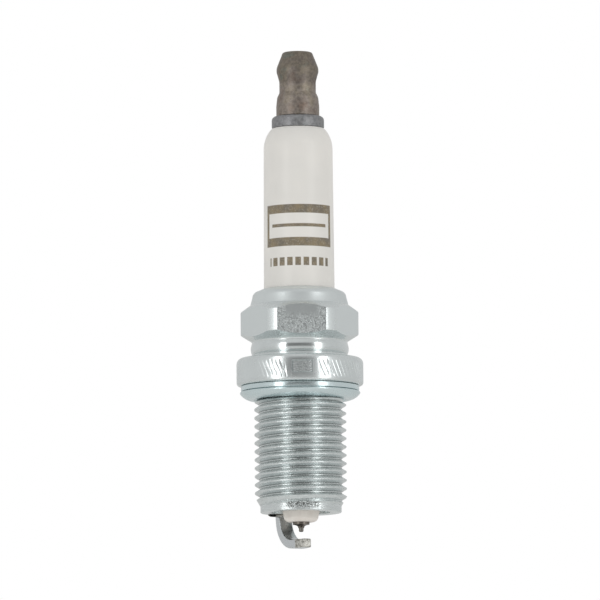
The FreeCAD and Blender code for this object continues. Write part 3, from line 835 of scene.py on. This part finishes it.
class Shell(bpy.types.Operator):
    """Turn the shell, mill its hexagon, roll its rim and cut its M14 thread"""

    bl_idname = "plug.shell"
    bl_label = "Shell"

    def execute(self, context):
        top, end = top_of("shell"), bottom_of("shell")
        hexagon_low, hexagon_high = 6.56, 12.05
        sizes, threads = context.scene.plug_shell, context.scene.plug_threads
        crest, core = SHELL_CREST_RADIUS, root_radius()
        flange_top, rim_radius, land, pilot, bore, ledge = 4.12, 9.46, 6.42, 6.05, 4.35, 4.72
        panel_low, panel_high, panel_half_angle = 1.2, 2.95, math.radians(9)
        shell = turned("shell_piece", [
            (5.35, 13.75), (5.35, top, 0.1), (6.42, 14.08), *arc((6.42, 14.08), (7.02, 13.25), 0.95, 6, 1),
            (7.33, hexagon_high, 0.1), (8.8, 10.96, 0.2), (8.8, 7.62, 0.2), (7.2, 6.62, 0.08),
            (7.12, 6.4, 0.1), *arc((7.12, 6.32), (7.12, 4.6), 2.0, 10, 1), (7.08, 4.54, 0.03),
            (7.3, 4.46, 0.06), (7.34, flange_top, 0.1), (rim_radius, flange_top, 0.85),
            (rim_radius, 0, 0.42), (land, 0, 0.1), (land, -2.2, 0.1), (core, -2.7, 0.1), (core, -17.5),
            (pilot, -17.9, 0.3), (pilot, end, 0.14), (bore, end, 0.15), (bore, -11.9), (3.95, -11.5),
            (3.95, -9.924), (ledge, -9.154), (ledge, 0.32), (6.0, 1.6), (6.0, 13.2),
        ])
        milled_hexagon(shell, sizes.across_flats, hexagon_low - 0.4, hexagon_high + 0.3)
        soften_upright_edges(shell, hexagon_low, hexagon_high)
        rolled_serrations(shell, sizes, 0.7, 3.1)
        stamped_panel(shell, panel_low, panel_high, panel_half_angle, 0.1)
        thread = thread_ridge(
            "shell_thread", crest, threads.shell_pitch / MM, threads.crest_height / MM, -18.2, -1.9)
        thread_start, thread_end, inner, outer = -2.0, -17.95, 5.6, crest + 0.01
        envelope = turned("thread_envelope", [
            (inner, thread_start), (6.38, thread_start), (outer, thread_start - 0.6),
            (outer, thread_end + 1.35), (6.1, thread_end), (inner, thread_end),
        ])
        combine(thread, envelope, "INTERSECT")
        combine(shell, thread, "UNION")
        finish_piece(shell, "shell", "plug", "plated_shell_steel",
                     zinc_plating(), zinc_on_forging(), zinc_on_thread())
        flat_distance = sizes.across_flats / 2
        panel_half_width = (rim_radius * math.sin(panel_half_angle) - 0.06) * MM
        for face in shell.data.polygons:
            normal, height = face.normal, face.center.z / MM
            on_flat = abs(normal.z) < 0.01 and abs(face.center.dot(normal) - flat_distance) < 0.01 * MM
            on_thread = height < -0.1 and face.center.xy.length > 5.5 * MM
            on_panel = panel_low + 0.05 < height < panel_high - 0.05 and face.center.y < -9.3 * MM
            if on_flat and hexagon_low < height < hexagon_high:
                face.material_index = 1
            elif on_thread or (on_panel and abs(face.center.x) < panel_half_width):
                face.material_index = 2
        smooth(shell)
        return {"FINISHED"}


class Gasket(bpy.types.Operator):
    """Turn the folded gasket, with its flat rim, open seam and rounded sole"""

    bl_idname = "plug.gasket"
    bl_label = "Gasket"

    def execute(self, context):
        top, sole = top_of("gasket"), bottom_of("gasket")
        inner, seam, rim = 6.6, 8.2, 8.83
        gasket = turned("gasket_piece", [
            (inner, top, 0.15), (rim, top, 0.12), (rim, -0.84, 0.12), (seam, -0.84), (seam, -0.92), (8.8, -0.92),
            *arc((8.8, -0.92), (8.96, -1.18), 0.175, 8, 1), *arc((8.96, -1.18), (7.1, sole), 2.3, 12, 1),
            (6.95, sole, 0.2), (inner, sole + 0.35, 0.2),
        ])
        finish_piece(gasket, "gasket", "gasket", "gasket_steel", gasket_plating())
        smooth(gasket, math.radians(30))
        return {"FINISHED"}


class CentreElectrode(bpy.types.Operator):
    """Turn the centre electrode, its weld bead and the fine iridium tip"""

    bl_idname = "plug.centre_electrode"
    bl_label = "Centre electrode"

    def execute(self, context):
        electrode_end, bead_end, tip_end = map(bottom_of, ("centre_electrode", "tip_weld", "iridium_tip"))
        electrode = turned("centre_electrode_piece", [
            (0.72, -5.2), (1.25, -5.2), (1.25, -6.6), (1.9, -6.6), (1.9, -7.69), (1.25, -8.34),
            (1.25, -20.75, 0.04), *arc((1.25, -20.79), (0.45, electrode_end), 0.9, 8, -1),
            (0, electrode_end), (0, -19.4), (0.72, -19.4),
        ], 96)
        finish_piece(electrode, "centre_electrode", "plug", "nickel_alloy", electrode_nickel())
        bead = turned("tip_weld_piece", [
            (0, electrode_end), (0.45, electrode_end),
            *arc((0.45, electrode_end), (0.38, bead_end), 0.12, 6, 1), (0, bead_end),
        ], 64)
        finish_piece(bead, "tip_weld", "plug", "nickel_alloy", bpy.data.materials["electrode_nickel"])
        tip = turned("iridium_tip_piece", [
            (0, bead_end), (0.36, bead_end), (0.34, tip_end, 0.16), (0, tip_end),
        ], 64)
        finish_piece(tip, "iridium_tip", "plug", "iridium", ground_iridium())
        for piece in (electrode, bead, tip):
            smooth(piece, math.radians(30))
        return {"FINISHED"}


def bent_strap(shell_end):
    """Extrude the strap from its trimmed end, widen it, bend it and run it up to the shell."""
    lean, bend, level = math.radians(8), 3.9, -23.6
    foot, past_axis, thickness, width, end_width = 5.2, 1.9, 1.3, 2.2, 1.16
    corner = foot - (shell_end - level) * math.tan(lean)
    tangent = bend * math.tan((math.pi / 2 - lean) / 2)
    leg = (shell_end - level) / math.cos(lean) - tangent + 0.05
    deselect()
    bpy.ops.mesh.primitive_plane_add(
        size=MM, location=(-past_axis * MM, 0, level * MM), rotation=(0, math.pi / 2, 0))
    strap = named("ground_electrode_piece")
    strap.scale = (thickness, end_width, 1)
    bpy.ops.object.transform_apply(location=True, rotation=True, scale=True)
    bpy.ops.object.mode_set(mode="EDIT")
    bpy.ops.mesh.select_all(action="SELECT")
    bpy.ops.mesh.extrude_region_move(TRANSFORM_OT_translate={"value": (past_axis * MM, 0, 0)})
    bpy.ops.transform.resize(value=(1, width / end_width, 1), center_override=(0, 0, level * MM))
    bpy.ops.mesh.extrude_region_move(TRANSFORM_OT_translate={"value": ((corner - tangent) * MM, 0, 0)})
    bend_steps = 16
    centre = Vector((corner - tangent, 0, level + bend)) * MM
    for _ in range(bend_steps):
        bpy.ops.mesh.extrude_region_move()
        bpy.ops.transform.rotate(
            value=(math.pi / 2 - lean) / bend_steps, orient_axis="Y", center_override=centre)
    bpy.ops.mesh.extrude_region_move(TRANSFORM_OT_translate={
        "value": (leg * math.sin(lean) * MM, 0, leg * math.cos(lean) * MM)})
    close_shell()
    round_edges(strap, 0.17, 4, 40)
    return strap


def weld_flash(shell_end):
    """A low bead that the weld squeezed out round the strap's foot."""
    sweep = math.radians(54)
    bead = outline_wire("ground_weld_piece", softened([
        (4.37, shell_end + 0.03), (4.37, shell_end - 0.2, 0.1), (4.62, shell_end - 0.3, 0.2),
        (5.5, shell_end - 0.3, 0.25), (5.86, shell_end - 0.08, 0.1), (5.9, shell_end + 0.03),
    ]))
    bpy.ops.mesh.select_all(action="SELECT")
    bpy.ops.mesh.spin(steps=40, angle=sweep, center=(0, 0, 0), axis=UP)
    fill_ends()
    close_shell()
    turn_about_axis(bead, sweep / 2)
    round_edges(bead, 0.04, 2, 50)
    return bead


class GroundStrap(bpy.types.Operator):
    """Bend the ground strap over the tip, round its edges and lay its weld flash"""

    bl_idname = "plug.ground_strap"
    bl_label = "Ground strap"

    def execute(self, context):
        azimuth = math.radians(118)
        shell_end = bottom_of("shell")
        strap = bent_strap(shell_end)
        finish_piece(strap, "ground_electrode", "plug", "nickel_alloy", rolled_nickel(), sheared_nickel())
        for face in strap.data.polygons:
            sheared = face.center.x < -0.02 * MM and face.normal.x < -0.1
            face.material_index = 1 if sheared else 0
        bead = weld_flash(shell_end)
        finish_piece(bead, "ground_weld", "plug", "nickel_alloy", weld_metal())
        for piece in (strap, bead):
            turn_about_axis(piece, azimuth)
            smooth(piece, math.radians(35))
        return {"FINISHED"}


class HiddenPieces(bpy.types.Operator):
    """Give the sealed pieces inside the plug their finishes"""

    bl_idname = "plug.hidden_pieces"
    bl_label = "Hidden pieces"

    def execute(self, context):
        wire, glass = packing_wire(), copper_glass()
        finishes = {
            "upper_packing_ring": wire,
            "lower_packing_ring": wire,
            "inner_seat_washer": wire,
            "talc_packing": pressed_talc(),
            "upper_glass_seal": glass,
            "lower_glass_seal": glass,
            "resistor": carbon_glass(),
            "electrode_core": drawn_copper(),
        }
        for node, material in finishes.items():
            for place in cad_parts[node].material_slots:
                place.material = material
        return {"FINISHED"}


class Studio(bpy.types.Operator):
    """Set up the pale floor, the white surround, the strip lights and the camera"""

    bl_idname = "plug.studio"
    bl_label = "Studio"

    def execute(self, context):
        settings = context.scene.plug_studio
        add_floor()
        light_world(context.scene, settings)
        for side in (-1, 1):
            add_strip_light(side, settings)
        add_camera(context.scene, settings)
        return {"FINISHED"}


LOOK_AT = Vector((0.1, 0, 12.9)) * MM
SENSOR_WIDTH = 36.0
LENS = 482.0
FLOOR_HEIGHT = -0.22
WHITE = (1, 1, 1, 1)


def towards(azimuth, elevation):
    """A unit vector from the plug; azimuth 0 is the front and grows to the left of the camera."""
    return Vector((
        -math.sin(azimuth) * math.cos(elevation),
        -math.cos(azimuth) * math.cos(elevation),
        math.sin(elevation),
    ))


def add_floor():
    deselect()
    bpy.ops.mesh.primitive_circle_add(vertices=96, radius=3.0, fill_type="NGON", location=(0, 0, 0))
    floor = named("floor")
    floor.location.z = FLOOR_HEIGHT
    material, tree = new_material("painted_floor")
    mottle = noise(tree, 0.003)
    tone = ramp(tree, mottle, (0.3, colour("F7F7F5")), (0.7, colour("FBFBFA")))
    surface(tree, Base_Color=tone, Roughness=0.8)
    floor.data.materials.append(material)


def light_world(scene, settings):
    """White walls to the camera; softer light for the plug, with a dim panel round the camera."""
    world = bpy.data.worlds.new("studio_walls")
    scene.world = world
    world.use_nodes = True
    tree = world.node_tree
    tree.nodes.clear()
    panel_height, panel_light = 0.08, 0.34
    panel_edge, panel_core = math.cos(math.radians(40)), math.cos(math.radians(26))
    direction = add(tree, "ShaderNodeTexCoord").outputs["Generated"]
    flattened = add(tree, "ShaderNodeVectorMath", {0: direction, 1: (1, 1, 0)}, operation="MULTIPLY")
    level_way = add(tree, "ShaderNodeVectorMath", {0: flattened.outputs[0]}, operation="NORMALIZE").outputs[0]
    facing = add(tree, "ShaderNodeVectorMath", {0: level_way, 1: towards(settings.azimuth, 0)},
                 operation="DOT_PRODUCT").outputs["Value"]
    above_middle = maths(tree, "SUBTRACT", axes_of(tree, direction)["Z"], panel_height)
    from_middle = maths(tree, "ABSOLUTE", above_middle)
    in_height = spread(tree, from_middle, 0.2, 0.42, 1.0, 0.0)
    dim = times(tree, spread(tree, facing, panel_edge, panel_core), in_height)
    level = spread(tree, dim, 0.0, 1.0, settings.surround, settings.surround * panel_light)
    light = add(tree, "ShaderNodeBackground", {"Color": WHITE, "Strength": level})
    white = add(tree, "ShaderNodeBackground", {"Color": WHITE, "Strength": 1.0})
    ray = add(tree, "ShaderNodeLightPath").outputs["Is Camera Ray"]
    shown = add(tree, "ShaderNodeMixShader", {0: ray, 1: light.outputs[0], 2: white.outputs[0]})
    add(tree, "ShaderNodeOutputWorld", {"Surface": shown.outputs[0]})
    scene.view_settings.view_transform = "Standard"


def aim(item, azimuth, elevation, distance, roll=0.0):
    """Stand a light or a camera off from the plug and turn it to face the point that is looked at."""
    place = LOOK_AT + towards(azimuth, elevation) * distance
    view = (LOOK_AT - place).to_track_quat("-Z", "Y")
    item.location = place
    item.rotation_euler = (view @ Quaternion((0, 0, 1), -roll)).to_euler()


def add_strip_light(side, settings):
    """An upright strip, narrow enough to draw a bright line down every turned surface."""
    distance, width, height = 0.6, 0.15, 0.6
    off_camera = math.radians(side * 43 - 2)
    deselect()
    bpy.ops.object.light_add(type="AREA", location=(0, 0, 0))
    light = bpy.context.active_object
    light.name = "strip_light"
    light.data.shape = "RECTANGLE"
    light.data.size = width
    light.data.size_y = height
    light.data.energy = settings.strip_power
    aim(light, settings.azimuth + off_camera, 0, distance)


def add_camera(scene, settings):
    deselect()
    bpy.ops.object.camera_add()
    camera = bpy.context.active_object
    camera.name = "camera"
    aim(camera, settings.azimuth, settings.elevation, settings.distance, settings.roll)
    camera.data.lens = LENS
    camera.data.sensor_width = SENSOR_WIDTH
    camera.data.clip_start = 0.01
    scene.camera = camera


PIECE_OPERATORS = (
    TerminalNut, TerminalStud, Insulator, Shell, Gasket, CentreElectrode, GroundStrap, HiddenPieces, Studio,
)


class PlugPanel(bpy.types.Panel):
    """Every step that builds the spark plug"""

    bl_idname = "VIEW3D_PT_spark_plug"
    bl_label = "Spark plug"
    bl_space_type = "VIEW_3D"
    bl_region_type = "UI"
    bl_category = "Spark plug"

    def draw(self, context):
        for group in GROUPS:
            box = self.layout.box()
            settings = getattr(context.scene, group)
            for name in settings.__annotations__:
                box.prop(settings, name)
        for operator in PIECE_OPERATORS:
            self.layout.operator(operator.bl_idname)


CLASSES = (*GROUPS.values(), *PIECE_OPERATORS, PlugPanel)


def register():
    for cls in CLASSES:
        bpy.utils.register_class(cls)
    for name, group in GROUPS.items():
        setattr(bpy.types.Scene, name, PointerProperty(type=group))


def unregister():
    for name in GROUPS:
        delattr(bpy.types.Scene, name)
    for cls in reversed(CLASSES):
        bpy.utils.unregister_class(cls)


def main():
    register()
    for operator in PIECE_OPERATORS:
        step = getattr(bpy.ops.plug, operator.bl_idname.split(".")[1])
        if step() != {"FINISHED"}:
            raise RuntimeError(f"{operator.bl_label} did not finish")


if __name__ == "__main__":
    main()
